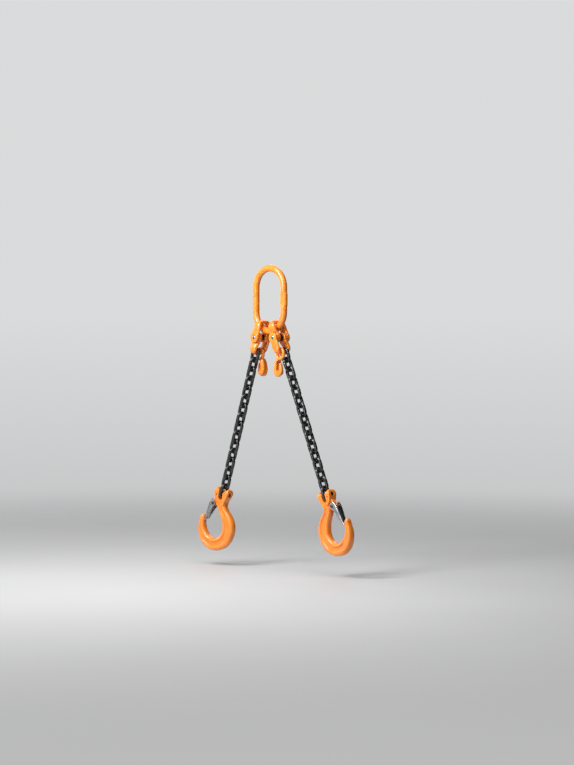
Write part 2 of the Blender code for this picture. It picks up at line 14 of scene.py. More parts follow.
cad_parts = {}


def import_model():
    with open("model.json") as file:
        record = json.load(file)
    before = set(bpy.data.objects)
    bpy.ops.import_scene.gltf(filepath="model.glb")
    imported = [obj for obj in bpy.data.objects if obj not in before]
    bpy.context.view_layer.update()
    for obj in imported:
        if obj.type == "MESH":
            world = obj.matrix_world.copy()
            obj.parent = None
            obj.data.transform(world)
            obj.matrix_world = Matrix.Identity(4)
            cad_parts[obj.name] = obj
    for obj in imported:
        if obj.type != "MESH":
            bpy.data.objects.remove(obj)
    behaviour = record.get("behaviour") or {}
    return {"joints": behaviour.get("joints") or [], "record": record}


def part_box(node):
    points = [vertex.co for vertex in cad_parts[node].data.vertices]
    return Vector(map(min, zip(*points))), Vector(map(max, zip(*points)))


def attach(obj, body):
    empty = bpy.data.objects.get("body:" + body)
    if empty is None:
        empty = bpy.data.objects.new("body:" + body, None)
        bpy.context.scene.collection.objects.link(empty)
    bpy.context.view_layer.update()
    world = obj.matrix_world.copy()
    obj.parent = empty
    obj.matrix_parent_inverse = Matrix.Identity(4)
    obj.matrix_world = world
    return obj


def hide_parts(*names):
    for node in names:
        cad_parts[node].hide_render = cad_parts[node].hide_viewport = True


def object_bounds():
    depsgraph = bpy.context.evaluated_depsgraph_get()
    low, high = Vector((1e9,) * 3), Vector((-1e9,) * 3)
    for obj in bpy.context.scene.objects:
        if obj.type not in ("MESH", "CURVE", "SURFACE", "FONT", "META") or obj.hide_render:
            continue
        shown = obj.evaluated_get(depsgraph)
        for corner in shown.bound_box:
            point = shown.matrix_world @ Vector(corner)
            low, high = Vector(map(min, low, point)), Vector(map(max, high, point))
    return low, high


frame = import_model()
CAD_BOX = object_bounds()
JOINTS = {joint["name"]: joint for joint in frame["joints"]}
MOUNTS = {mount["name"]: mount for mount in frame["record"]["mounts"]}

MM = 0.001
LEG_ACROSS = {"right": (0, 1, 0), "left": (0, -1, 0)}
GRAB_LEAN = {"right": -2.0, "left": -6.0}
LINKS_PER_LEG = 16

# Master link
MASTER_BAR_RADIUS = 7.0
MASTER_BEND = 42.0              # bar centre, round both bends
MASTER_TOP = -35.0              # height of the upper bend's centre
MASTER_BOTTOM = -85.0
MASTER_FLAT_HALF = 5.2          # half thickness left across the pressed flat
MASTER_FLAT_LENGTH = 28.0
MASTER_FLAT_BULGE = 1.22

# Chain
WIRE_RADIUS = 3.5
LINK_HALF_LENGTH = 14.0
LINK_HALF_WIDTH = 8.75

# Coupling
COUPLING_REACH = 33.6
BOW_HALF_WIDTH = 15.6
BOW_FLAT = 5.6
BOW_RADIUS = 4.6
KNUCKLE_RADIUS = 10.6
KNUCKLE_THICKNESS = 7.8
SLEEVE_RADIUS = 6.8
SLEEVE_HALF = 5.3
LOAD_PIN_RADIUS = 4.0
PLAY = 0.3

# Shortening hook
EYE_HOLE_RADIUS = 5.9
EYE_BAR_RADIUS = 3.5
EYE_STRETCH = 1.28              # the eye is longer below its middle than above
EYE_DROP = 1.0

# Sling hook and latch
BOWL_CENTRE = (8.0, -73.0)
BOWL_RADIUS = 30.0
SPINE_FULLNESS = 5.2            # how far the spine's inner edge comes inside that radius
CLEVIS_PIN_RADIUS = 4.4
CLEVIS_HALF_WIDTH = 18.0
CLEVIS_SLOT = 11.2
CLEVIS_SLOT_DEPTH = 15.0
EAR_RADIUS = 11.0
ROLL_PIN_X = 11.0
ROLL_PIN_RADIUS = 1.5
ROLL_PIN_DROP = 4.8
LATCH_PIVOT = (17.0, -26.5)
LATCH_ANGLE = 24.0
LATCH_LENGTH = 48.0
LATCH_PIN_RADIUS = 2.0
LATCH_HALF_WIDTH = 10.2
LATCH_TOP = 6.0                 # height of the latch above its pivot
LATCH_TAPER = 4.3               # half width lost from its top to its tip
LATCH_SHEET = 1.4
LUG_HALF_THICKNESS = 4.6
LUG_RADIUS = 5.6

# Mesh settings
ROD_SIDES = 72
FINE_VOXEL = 0.42               # grid of the last remesh of every forging
FORGING_FACES = {"coupling": 42000, "grab_hook": 40000, "sling_hook": 110000}


# ---------------------------------------------------------------- mesh helpers (millimetres)

def new_object(name, mesh):
    obj = bpy.data.objects.new(name, mesh)
    bpy.context.scene.collection.objects.link(obj)
    return obj


def skin(rings, closed=False):
    """A quad skin over rings of equal point count; unless closed, flat caps end it."""
    rings = np.asarray(rings, float)
    rows, count = rings.shape[:2]
    index = np.arange(rows * count).reshape(rows, count)
    faces = []
    for row in range(rows if closed else rows - 1):
        here = index[row]
        following = index[(row + 1) % rows]
        for side in range(count):
            after = (side + 1) % count
            faces.append((here[side], here[after], following[after], following[side]))
    if not closed:
        faces += [tuple(index[0][::-1]), tuple(index[-1])]
    mesh = bpy.data.meshes.new("skin")
    mesh.from_pydata([tuple(point) for point in rings.reshape(-1, 3)], [],
                     [tuple(int(corner) for corner in face) for face in faces])
    work = bmesh.new()
    work.from_mesh(mesh)
    bmesh.ops.recalc_face_normals(work, faces=work.faces)
    work.to_mesh(mesh)
    work.free()
    return new_object("skin", mesh)


def settle(obj):
    """Give obj the mesh its modifiers make."""
    bpy.context.view_layer.update()
    graph = bpy.context.evaluated_depsgraph_get()
    mesh = bpy.data.meshes.new_from_object(obj.evaluated_get(graph))
    obj.modifiers.clear()
    obj.data = mesh
    return obj


def fuse(parts, voxel, rounds):
    """One skin over overlapping solids, with rounds of smoothing to round off its edges."""
    work = bmesh.new()
    for part in parts:
        work.from_mesh(part.data)
        bpy.data.objects.remove(part)
    mesh = bpy.data.meshes.new("fused")
    work.to_mesh(mesh)
    work.free()
    obj = new_object("fused", mesh)
    remesh = obj.modifiers.new("remesh", "REMESH")
    remesh.mode = "VOXEL"
    remesh.voxel_size = voxel
    smooth = obj.modifiers.new("smooth", "SMOOTH")
    smooth.factor = 0.5
    smooth.iterations = rounds
    return settle(obj)


def cut(target, tools, operation="DIFFERENCE"):
    """Apply each tool to target and remove it."""
    for tool in tools:
        step = target.modifiers.new("cut", "BOOLEAN")
        step.operation = operation
        step.solver = "MANIFOLD"
        step.object = tool
        settle(target)
        bpy.data.objects.remove(tool)
    return target


def thin_out(obj, faces):
    """Collapse obj to about this many triangles."""
    total = sum(len(face.vertices) - 2 for face in obj.data.polygons)
    if total > faces:
        step = obj.modifiers.new("thin", "DECIMATE")
        step.ratio = faces / total
        settle(obj)
    return obj


def round_edges(obj, width, segments=3, angle=35):
    """Bevel the edges sharper than angle."""
    step = obj.modifiers.new("edge", "BEVEL")
    step.width = width
    step.segments = segments
    step.limit_method = "ANGLE"
    step.angle_limit = math.radians(angle)
    return settle(obj)


def arc(centre, radius, start, end, count):
    """Points (x, z) on an arc, angles in degrees from +X towards +Z."""
    angles = np.radians(np.linspace(start, end, count))
    return [(centre[0] + radius * math.cos(a), centre[1] + radius * math.sin(a)) for a in angles]


def smooth_path(points, steps):
    """A curve through points of any dimension, with steps samples between neighbours."""
    points = np.asarray(points, float)
    padded = np.vstack([2 * points[0] - points[1], points, 2 * points[-1] - points[-2]])
    share = np.linspace(0, 1, steps, endpoint=False)[:, None]
    pieces = []
    for index in range(len(points) - 1):
        a, b, c, d = padded[index:index + 4]
        bend = (2 * a - 5 * b + 4 * c - d) * share ** 2 + (3 * b - a - 3 * c + d) * share ** 3
        pieces.append(0.5 * (2 * b + (c - a) * share + bend))
    pieces.append(points[-1:])
    return np.vstack(pieces)


def ease(value, low, high):
    """0 below low, 1 above high, smooth between; works on arrays."""
    share = np.clip((value - low) / (high - low), 0, 1)
    return share * share * (3 - 2 * share)


def prism(outline, low, high, along="Y"):
    """A flat outline, (x, z) along Y or (y, z) along X, thickened from low to high."""
    if along == "Y":
        return skin([[(a, level, b) for a, b in outline] for level in (low, high)])
    return skin([[(level, a, b) for a, b in outline] for level in (low, high)])


def rod(centre, radius, low, high, along="Y"):
    """A plain round rod from low to high."""
    return prism(arc(centre, radius, 0, 360 * (1 - 1 / ROD_SIDES), ROD_SIDES), low, high, along)


def lathe(profile, along, sides=96):
    """A turned solid from (radius, position) steps that start and end on the axis."""
    rings = []
    angles = np.linspace(0, 2 * math.pi, sides, endpoint=False)
    for radius, place in profile:
        circle = [(radius * math.cos(a), radius * math.sin(a)) for a in angles]
        if along == "Y":
            rings.append([(a, place, b) for a, b in circle])
        else:
            rings.append([(place, a, b) for a, b in circle])
    return skin(rings)


def bar(path, radius, sides=32, closed=False):
    """A round bar along path; radius may vary along it."""
    path = np.asarray(path, float)
    sizes = np.broadcast_to(np.asarray(radius, float), (len(path),))
    before = np.roll(path, 1, axis=0)
    after = np.roll(path, -1, axis=0)
    if not closed:
        before[0] = path[0]
        after[-1] = path[-1]
    tangents = after - before
    tangents /= np.linalg.norm(tangents, axis=1)[:, None]
    angles = np.linspace(0, 2 * math.pi, sides, endpoint=False)[:, None]
    normal = np.array((0.0, 1.0, 0.0))
    rings = []
    for point, tangent, size in zip(path, tangents, sizes):
        normal = normal - tangent * (normal @ tangent)
        normal /= np.linalg.norm(normal)
        side = np.cross(tangent, normal)
        rings.append(point + size * (np.cos(angles) * normal + np.sin(angles) * side))
    return skin(rings, closed)


def coordinates(obj):
    """The mesh's points as an array of rows."""
    values = np.empty(len(obj.data.vertices) * 3)
    obj.data.vertices.foreach_get("co", values)
    return values.reshape(-1, 3)


def set_coordinates(obj, values):
    obj.data.vertices.foreach_set("co", np.asarray(values, np.float32).ravel())
    obj.data.update()


def forge(obj, depth, size, seed):
    """Low swells of about size, depth high, that die-forged and coated steel keeps."""
    where = coordinates(obj)
    normals = np.array([vertex.normal for vertex in obj.data.vertices])
    shift = Vector((seed * 17.3, seed * 5.1, seed * 9.7))
    swell = [noise.noise(Vector(point) / size + shift) for point in where]
    fine = [noise.noise(Vector(point) * 3.1 / size - shift) for point in where]
    lift = depth * (np.array(swell) + 0.35 * np.array(fine))
    set_coordinates(obj, where + normals * lift[:, None])


def mark(obj, values):
    """Store how rubbed each point is, 0 to 1, for the materials."""
    layer = obj.data.attributes.new("rub", "FLOAT", "POINT")
    layer.data.foreach_set("value", np.asarray(values, np.float32))


def squared_circle(angles, power):
    """Cosine and sine raised to power with their signs; below 1 this fills a circle's corners."""
    waves = np.cos(angles), np.sin(angles)
    return [np.copysign(np.abs(wave) ** power, wave) for wave in waves]


def near(where, point, radius):
    """1 at point, falling to 0 at radius."""
    return 1 - ease(np.linalg.norm(where - np.array(point), axis=1), 0.25 * radius, radius)


# ---------------------------------------------------------------- finishes

def add(tree, kind, inputs=None, **settings):
    """Add a shader node; an input is a value or another node's socket."""
    made = tree.nodes.new("ShaderNode" + kind)
    for key, value in settings.items():
        setattr(made, key, value)
    for key, value in (inputs or {}).items():
        if isinstance(value, bpy.types.NodeSocket):
            tree.links.new(value, made.inputs[key])
        else:
            made.inputs[key].default_value = value
    return made


def new_finish(name):
    """A new material with its node tree and main shader."""
    mat = bpy.data.materials.new(name)
    mat.use_nodes = True
    return mat, mat.node_tree, mat.node_tree.nodes["Principled BSDF"]


def piece_space(tree):
    """Coordinates in the piece's own metres, shifted per piece so that no two match."""
    place = add(tree, "TexCoord").outputs["Object"]
    chance = add(tree, "ObjectInfo").outputs["Random"]
    return add(tree, "VectorMath", {0: place, 1: chance}, operation="ADD").outputs[0]


def grain(tree, place, scale, detail=4.0, roughness=0.55):
    made = add(tree, "TexNoise", {"Vector": place, "Scale": scale, "Detail": detail,
                                  "Roughness": roughness})
    return made.outputs["Fac"]


def span(tree, value, low, high, new_low=0.0, new_high=1.0):
    """Map low..high of value onto new_low..new_high."""
    made = add(tree, "MapRange", {"Value": value, "From Min": low, "From Max": high,
                                  "To Min": new_low, "To Max": new_high})
    return made.outputs["Result"]


def times(tree, first, second):
    return add(tree, "Math", {0: first, 1: second}, operation="MULTIPLY").outputs[0]


def mix(tree, factor, first, second):
    made = add(tree, "Mix", data_type="RGBA")
    for index, value in ((0, factor), (6, first), (7, second)):
        if isinstance(value, bpy.types.NodeSocket):
            tree.links.new(value, made.inputs[index])
        else:
            made.inputs[index].default_value = value
    return made.outputs[2]


def bumps(tree, layers):
    """Stacked bumps from (height, strength, distance in metres), coarsest first."""
    normal = None
    for height, strength, distance in layers:
        inputs = {"Height": height, "Strength": strength, "Distance": distance}
        if normal:
            inputs["Normal"] = normal
        normal = add(tree, "Bump", inputs).outputs["Normal"]
    return normal


def orange_coat():
    """Semi-gloss orange powder coat on forged steel, rubbed where steel bears, with painted shade
    in hollows and a painted highlight on sharp edges.
    """
    mat, tree, shader = new_finish("orange_coat")
    place = piece_space(tree)
    cloud = grain(tree, place, 70.0)
    mottle = grain(tree, place, 420.0, 3.0)
    peel = grain(tree, place, 1100.0, 2.0)
    forged = grain(tree, place, 190.0, 5.0)
    edge = add(tree, "NewGeometry").outputs["Pointiness"]
    rub = add(tree, "Attribute", attribute_name="rub").outputs["Fac"]
    tone = mix(tree, span(tree, cloud, 0.3, 0.7),
               (0.800, 0.185, 0.010, 1), (0.900, 0.250, 0.018, 1))
    tone = mix(tree, span(tree, mottle, 0.35, 0.75, 0.0, 0.30), tone, (0.950, 0.330, 0.030, 1))
    # painted shade: deep red mixed into hollows and creases, where pointiness is low
    tone = mix(tree, span(tree, edge, 0.50, 0.44, 0.0, 0.55), tone, (0.560, 0.070, 0.004, 1))
    # painted highlight: paler, yellower orange on sharp convex edges, where pointiness is high
    tone = mix(tree, span(tree, edge, 0.515, 0.56, 0.0, 0.45), tone, (0.980, 0.450, 0.100, 1))
    chips = span(tree, grain(tree, place, 650.0, 6.0, 0.7), 0.60, 0.66)
    bare = times(tree, chips, span(tree, rub, 0.25, 0.9))
    tone = mix(tree, bare, tone, (0.180, 0.165, 0.155, 1))
    tree.links.new(tone, shader.inputs["Base Color"])
    tree.links.new(span(tree, mottle, 0.25, 0.75, 0.30, 0.44), shader.inputs["Roughness"])
    tree.links.new(times(tree, bare, 0.85), shader.inputs["Metallic"])
    shader.inputs["Coat Weight"].default_value = 0.55
    shader.inputs["Coat Roughness"].default_value = 0.20
    layers = [(forged, 0.30, 0.00022), (peel, 0.22, 0.00006), (bare, -0.5, 0.00010)]
    tree.links.new(bumps(tree, layers), shader.inputs["Normal"])
    return mat


def black_chain():
    """Oiled black over round wire: fine scale, worn to grey steel where the links bear."""
    mat, tree, shader = new_finish("black_chain")
    place = piece_space(tree)
    scale = grain(tree, place, 900.0, 6.0, 0.65)
    cloud = grain(tree, place, 160.0)
    rub = add(tree, "Attribute", attribute_name="rub").outputs["Fac"]
    worn = times(tree, span(tree, rub, 0.15, 0.95), span(tree, scale, 0.40, 0.56))
    tone = mix(tree, span(tree, cloud, 0.3, 0.7),
               (0.008, 0.008, 0.009, 1), (0.022, 0.022, 0.024, 1))
    tone = mix(tree, worn, tone, (0.300, 0.295, 0.290, 1))
    tree.links.new(tone, shader.inputs["Base Color"])
    tree.links.new(span(tree, scale, 0.3, 0.7, 0.18, 0.32), shader.inputs["Roughness"])
    shader.inputs["Coat Weight"].default_value = 0.5
    shader.inputs["Coat Roughness"].default_value = 0.12
    tree.links.new(span(tree, worn, 0.0, 1.0, 0.35, 1.0), shader.inputs["Metallic"])
    layers = [(cloud, 0.25, 0.00020), (scale, 0.30, 0.00005)]
    tree.links.new(bumps(tree, layers), shader.inputs["Normal"])
    return mat


def dark_steel():
    """Phosphated pins: near black, with fine speckle and a rubbed sheen on their edges."""
    mat, tree, shader = new_finish("dark_steel")
    place = piece_space(tree)
    speck = grain(tree, place, 1300.0, 5.0, 0.6)
    cloud = grain(tree, place, 240.0)
    edge = add(tree, "NewGeometry").outputs["Pointiness"]
    tone = mix(tree, span(tree, cloud, 0.3, 0.7),
               (0.012, 0.012, 0.013, 1), (0.040, 0.039, 0.038, 1))
    tone = mix(tree, span(tree, edge, 0.52, 0.60, 0.0, 0.6), tone, (0.220, 0.215, 0.210, 1))
    tree.links.new(tone, shader.inputs["Base Color"])
    tree.links.new(span(tree, speck, 0.3, 0.7, 0.34, 0.52), shader.inputs["Roughness"])
    shader.inputs["Metallic"].default_value = 0.85
    layers = [(cloud, 0.15, 0.00010), (speck, 0.25, 0.00004)]
    tree.links.new(bumps(tree, layers), shader.inputs["Normal"])
    return mat


def zinc_sheet():
    """Bright zinc on pressed sheet: drawn lines along the latch and faint cloudy spangle."""
    mat, tree, shader = new_finish("zinc_sheet")
    place = piece_space(tree)
    drawn = add(tree, "Mapping", {"Vector": place, "Scale": (1.0, 1.0, 0.06)}).outputs[0]
    lines = grain(tree, drawn, 2600.0, 3.0, 0.7)
    spangle = add(tree, "TexVoronoi", {"Vector": place, "Scale": 240.0}).outputs["Color"]
    shade = add(tree, "RGBToBW", {"Color": spangle}).outputs[0]
    cloud = grain(tree, place, 110.0)
    tone = mix(tree, span(tree, shade, 0.2, 0.8),
               (0.330, 0.335, 0.345, 1), (0.520, 0.525, 0.530, 1))
    tone = mix(tree, span(tree, cloud, 0.55, 0.75, 0.0, 0.35), tone, (0.400, 0.375, 0.320, 1))
    tree.links.new(tone, shader.inputs["Base Color"])
    tree.links.new(span(tree, lines, 0.3, 0.7, 0.16, 0.34), shader.inputs["Roughness"])
    shader.inputs["Metallic"].default_value = 1.0
    layers = [(cloud, 0.20, 0.00020), (lines, 0.18, 0.00003)]
    tree.links.new(bumps(tree, layers), shader.inputs["Normal"])
    return mat


def spring_steel():
    """Oiled spring wire: grey-brown steel with fine drawing marks."""
    mat, tree, shader = new_finish("spring_steel")
    place = piece_space(tree)
    speck = grain(tree, place, 1800.0, 4.0, 0.6)
    tone = mix(tree, span(tree, speck, 0.3, 0.7),
               (0.150, 0.145, 0.140, 1), (0.320, 0.315, 0.310, 1))
    tree.links.new(tone, shader.inputs["Base Color"])
    tree.links.new(span(tree, speck, 0.3, 0.7, 0.24, 0.40), shader.inputs["Roughness"])
    shader.inputs["Metallic"].default_value = 1.0
    tree.links.new(bumps(tree, [(speck, 0.2, 0.00003)]), shader.inputs["Normal"])
    return mat


FINISHES = {make.__name__: make() for make in (orange_coat, black_chain, dark_steel, zinc_sheet,
                                               spring_steel)}


# ---------------------------------------------------------------- setting pieces on the frame

def upright(origin, up, across):
    """Frame at origin, in metres, with Z along up and Y along across."""
    z = Vector(up).normalized()
    x = Vector(across).cross(z).normalized()
    turn = Matrix((x, z.cross(x), z)).transposed().to_4x4()
    return Matrix.Translation(Vector(origin)) @ turn


def joint_point(name):
    return Vector(JOINTS[name]["pos_m"])


def in_metres(obj, sharp=None):
    """Scale a finished shape to metres and shade it; sharp is the crease angle, if any."""
    mesh = obj.data
    mesh.transform(Matrix.Scale(MM, 4))
    mesh.shade_smooth()
    if sharp:
        mesh.set_sharp_from_angle(angle=math.radians(sharp))
    bpy.data.objects.remove(obj)
    return mesh


def put(node, mesh, where, body, finish):
    """Stand mesh in for a CAD node, at the frame where, riding on body."""
    piece = new_object(node + "_fine", mesh)
    mesh.materials.clear()
    mesh.materials.append(FINISHES[finish])
    piece.matrix_world = where
    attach(piece, body)
    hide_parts(node)


# ---------------------------------------------------------------- master link

def master_link():
    """Round bar bent to a long link, one limb pressed flat, the other with its weld."""
    limb = MASTER_TOP - MASTER_BOTTOM
    middle = (MASTER_TOP + MASTER_BOTTOM) / 2
    steps = np.linspace(0, 1, 72)[1:-1]
    path = arc((0, MASTER_TOP), MASTER_BEND, 0, 180, 72)
    path += [(-MASTER_BEND, MASTER_TOP - limb * share) for share in steps]
    path += arc((0, MASTER_BOTTOM), MASTER_BEND, 180, 360, 72)
    path += [(MASTER_BEND, MASTER_BOTTOM + limb * share) for share in steps]
    path = np.array([(x, 0.0, z) for x, z in path])
    on_left = path[:, 0] < 0
    weld = np.exp(-((path[:, 2] - middle) / 2.2) ** 2) * on_left
    beside = np.exp(-((np.abs(path[:, 2] - middle) - 4.2) / 1.5) ** 2) * on_left
    obj = bar(path, MASTER_BAR_RADIUS * (1 + 0.028 * weld - 0.006 * beside), 56, closed=True)
    where = coordinates(obj)
    reach = np.abs(where[:, 2] - middle) / (MASTER_FLAT_LENGTH / 2)
    share = (1 - ease(reach, 0.72, 1.25)) * (where[:, 0] > MASTER_BEND / 2)
    depth = np.abs(where[:, 1])
    pressed = MASTER_FLAT_HALF + 0.25 * (depth - MASTER_FLAT_HALF)
    depth = np.where(depth > MASTER_FLAT_HALF, depth + (pressed - depth) * share, depth)
    where[:, 1] = np.sign(where[:, 1]) * depth
    bulge = 1 + (MASTER_FLAT_BULGE - 1) * share
    bulged = MASTER_BEND + (where[:, 0] - MASTER_BEND) * bulge
    where[:, 0] = np.where(share > 0, bulged, where[:, 0])
    set_coordinates(obj, where)
    forge(obj, 0.10, 9.0, 1)
    where = coordinates(obj)
    inside = MASTER_BEND - MASTER_BAR_RADIUS
    rub = near(where, (0, 0, 0), 12.0)
    for side in (-1, 1):
        angle = math.radians(270 + side * 40)
        seat = (inside * math.cos(angle), 0, MASTER_BOTTOM + inside * math.sin(angle))
        rub = np.maximum(rub, near(where, seat, 8.0))
    mark(obj, rub * 0.7)
    where = Matrix.Identity(4)
    put("master_link", in_metres(obj), where, "master_link", "orange_coat")


# ---------------------------------------------------------------- coupling

def coupling_half():
    """One forged half, bow upwards, load pin on Y: a bow that widens into two knuckles."""
    inner = SLEEVE_HALF + PLAY + KNUCKLE_THICKNESS / 2
    outer = inner + KNUCKLE_THICKNESS + PLAY
    corner = BOW_HALF_WIDTH - BOW_FLAT
    shoulder = COUPLING_REACH - corner
    clear = KNUCKLE_RADIUS + 1.2
    path = [(outer, 1.0), (outer, clear - 2.0)]
    path += arc((BOW_FLAT, shoulder), corner, 0, 90, 4)
    path += arc((-BOW_FLAT, shoulder), corner, 90, 180, 4)
    path += [(-inner - 3.6, clear + 2.4), (-inner, clear - 2.0), (-inner, 1.0)]
    across = [(10.2, 3.8), (10.0, 3.7), (9.2, 4.3), (8.0, 4.7), (4.9, 4.5), (4.5, 4.4),
              (4.5, 4.4), (4.9, 4.5), (8.0, 4.8), (9.2, 5.0), (9.8, 4.9), (10.1, 4.0),
              (10.2, 3.8)]
    table = smooth_path([(*place, *size) for place, size in zip(path, across)], 9)
    outline = list(zip(*squared_circle(np.linspace(0, 2 * math.pi, 40, endpoint=False), 0.84)))
    rings = []
    for index, (y, z, wide, deep) in enumerate(table):
        ahead = table[min(index + 1, len(table) - 1), :2]
        behind = table[max(index - 1, 0), :2]
        along = (ahead - behind) / np.linalg.norm(ahead - behind)
        ring = []
        for c, s in outline:
            ring.append((wide * c, y - along[1] * deep * s, z + along[0] * deep * s))
        rings.append(ring)
    parts = [skin(rings)]
    for place in (outer, -inner):
        half_knuckle = KNUCKLE_THICKNESS / 2
        parts.append(rod((0, 0), KNUCKLE_RADIUS + 0.25, place - half_knuckle, place + half_knuckle))
    obj = fuse(parts, 0.50, 16)
    reach = outer + KNUCKLE_THICKNESS
    gap = KNUCKLE_THICKNESS / 2 + PLAY / 2
    clearance = KNUCKLE_RADIUS + 0.7
    obj = cut(obj, [rod((0, 0), LOAD_PIN_RADIUS + PLAY, -reach, reach),
                    rod((0, 0), clearance, 0.0, outer - gap),
                    rod((0, 0), clearance, gap - inner, 1.0),
                    rod((0, 0), clearance, -reach, -inner - gap)])
    obj = fuse([obj], FINE_VOXEL, 2)
    forge(obj, 0.12, 7.0, 2)
    where = coordinates(obj)
    rub = near(where, (0, 0, COUPLING_REACH - BOW_RADIUS), 7.0)
    mark(obj, rub * 0.8)
    return in_metres(thin_out(obj, FORGING_FACES["coupling"]))


def coupling_sleeve():
    """Spring sleeve between the inner knuckles, split along its length."""
    end = SLEEVE_HALF
    bore = LOAD_PIN_RADIUS + 0.15
    profile = [(bore, -end), (SLEEVE_RADIUS - 0.7, -end), (SLEEVE_RADIUS, 0.7 - end),
               (SLEEVE_RADIUS, -1.4), (SLEEVE_RADIUS - 0.35, -0.9), (SLEEVE_RADIUS - 0.35, 0.9),
               (SLEEVE_RADIUS, 1.4), (SLEEVE_RADIUS, end - 0.7), (SLEEVE_RADIUS - 0.7, end),
               (bore, end)]
    angles = np.radians(np.linspace(-84, 264, 110))
    rings = [[(r * math.cos(a), y, r * math.sin(a)) for r, y in profile] for a in angles]
    return in_metres(round_edges(skin(rings), 0.12, 2), 40)


def coupling_pin():
    """Load pin with domed ends and a shallow locking waist."""
    end = SLEEVE_HALF + 2 * (PLAY + KNUCKLE_THICKNESS) - 0.3
    radius = LOAD_PIN_RADIUS
    dome = [(radius * math.sin(a), end + math.cos(a))
            for a in np.linspace(0.01, math.pi / 2, 9)]
    half = dome + [(radius, 2.6), (radius - 0.35, 1.8), (radius - 0.35, 0.0)]
    profile = half + [(r, -y) for r, y in half[-2::-1]]
    return in_metres(lathe(profile, "Y"), 30)


def coupling(leg, half, sleeve, pin):
    """Upper and lower half are one forging, turned over about the load pin."""
    across = LEG_ACROSS[leg]
    centre = joint_point(leg + "_coupling_hinge")
    bow = joint_point(leg + "_grab_hook_swing")
    bow.y = centre.y
    where = upright(centre, centre - bow, across)
    upper = leg + "_coupling_upper"
    put(upper + "_half", half, where, upper, "orange_coat")
    turned = where @ Matrix.Rotation(math.pi, 4, "X")
    put(leg + "_coupling_lower_half", half, turned, leg + "_coupling_lower", "orange_coat")
    put(leg + "_coupling_sleeve", sleeve, where, upper, "dark_steel")
    put(leg + "_coupling_pin", pin, where, upper, "zinc_sheet")


# ---------------------------------------------------------------- shortening hook

def pear(levels, middle, power):
    """A rounded upright body from (level, X centre, half width, half thickness about middle)."""
    table = smooth_path(levels, 8)
    angles = np.linspace(0, 2 * math.pi, 72, endpoint=False)
    across, deep = squared_circle(angles, power)
    rings = [np.stack([x + wide * across, middle + thick * deep, np.full(len(angles), z)], axis=1)
             for z, x, wide, thick in table]
    return skin(rings)


def grab_hook():
    """Eye, then a pear-shaped cradle, slotted for one link with a lip beside the slot."""
    radius = EYE_HOLE_RADIUS + EYE_BAR_RADIUS
    oval = np.array(arc((0, 0), radius, 0, 357, 120))
    oval[:, 1] = np.where(oval[:, 1] < 0, oval[:, 1] * EYE_STRETCH, oval[:, 1])
    eye = bar([(x, 0.0, z) for x, z in oval], EYE_BAR_RADIUS, 32, closed=True)
    slot_in, slot_out = -2.4, 5.6
    pocket = ((slot_in + slot_out) / 2, -34.0)
    body = pear([(-11.0, -0.8, 4.2, 3.0), (-13.5, -1.2, 6.6, 4.0), (-17.0, -1.0, 8.8, 4.6),
                 (-22.0, -1.0, 10.8, 4.8), (-29.0, -0.2, 12.4, 4.9), (-36.0, 0.1, 12.8, 5.0),
                 (-42.5, 0.0, 11.0, 4.8), (-47.0, -0.2, 7.8, 4.2), (-49.6, -0.3, 3.4, 2.6)],
                -4.9, 0.72)
    spine = pear([(-11.0, -2.6, 3.4, 3.0), (-14.0, -4.8, 4.4, 4.2), (-19.0, -6.6, 5.2, 5.0),
                  (-27.0, -7.4, 5.4, 5.2), (-35.0, -6.6, 5.8, 5.2), (-41.0, -4.4, 6.4, 4.8),
                  (-45.5, -2.4, 4.6, 3.4), (-47.4, -1.6, 2.2, 1.8)], 1.4, 0.82)
    lip = smooth_path([(-6.6, 1.6, -39.5), (-1.0, 2.2, -42.4), (4.6, 1.0, -41.6),
                       (8.0, -1.4, -37.5), (9.0, -3.4, -32.0)], 8)
    cradle = bar(lip, np.linspace(4.4, 2.4, len(lip)), 24)
    slot = [(slot_out, -21.5), (17.0, -14.5), (17.0, -6.0), (4.4, -6.0), (1.6, -14.0),
            (slot_in, -19.0)]
    slot += arc(pocket, (slot_out - slot_in) / 2, 180, 360, 28)
    obj = fuse([body, spine, cradle], 0.5, 5)
    obj = cut(obj, [prism(slot, -14, 14)])
    obj = fuse([obj, eye], 0.5, 8)
    obj = fuse([obj], FINE_VOXEL, 2)
    where = coordinates(obj)
    where[:, 2] -= EYE_DROP
    set_coordinates(obj, where)
    forge(obj, 0.14, 7.0, 3)
    where = coordinates(obj)
    rub = near(where, (0, 0, 4.5), 6.0)
    rub = np.maximum(rub, near(where, (pocket[0], -5.0, pocket[1] - 5.0), 7.0))
    mark(obj, rub * 0.7)
    return in_metres(thin_out(obj, FORGING_FACES["grab_hook"]))


def set_grab_hook(leg, mesh):
    """Hang the shortening hook in the lower bow, leaning slightly."""
    turn = 0.0 if leg == "right" else math.pi
    lean = Matrix.Rotation(turn, 4, "Z") @ Matrix.Rotation(-math.radians(GRAB_LEAN[leg]), 4, "Y")
    where = Matrix.Translation(joint_point(leg + "_grab_hook_swing")) @ lean
    put(leg + "_grab_hook", mesh, where, leg + "_grab_hook", "orange_coat")


# ---------------------------------------------------------------- chain

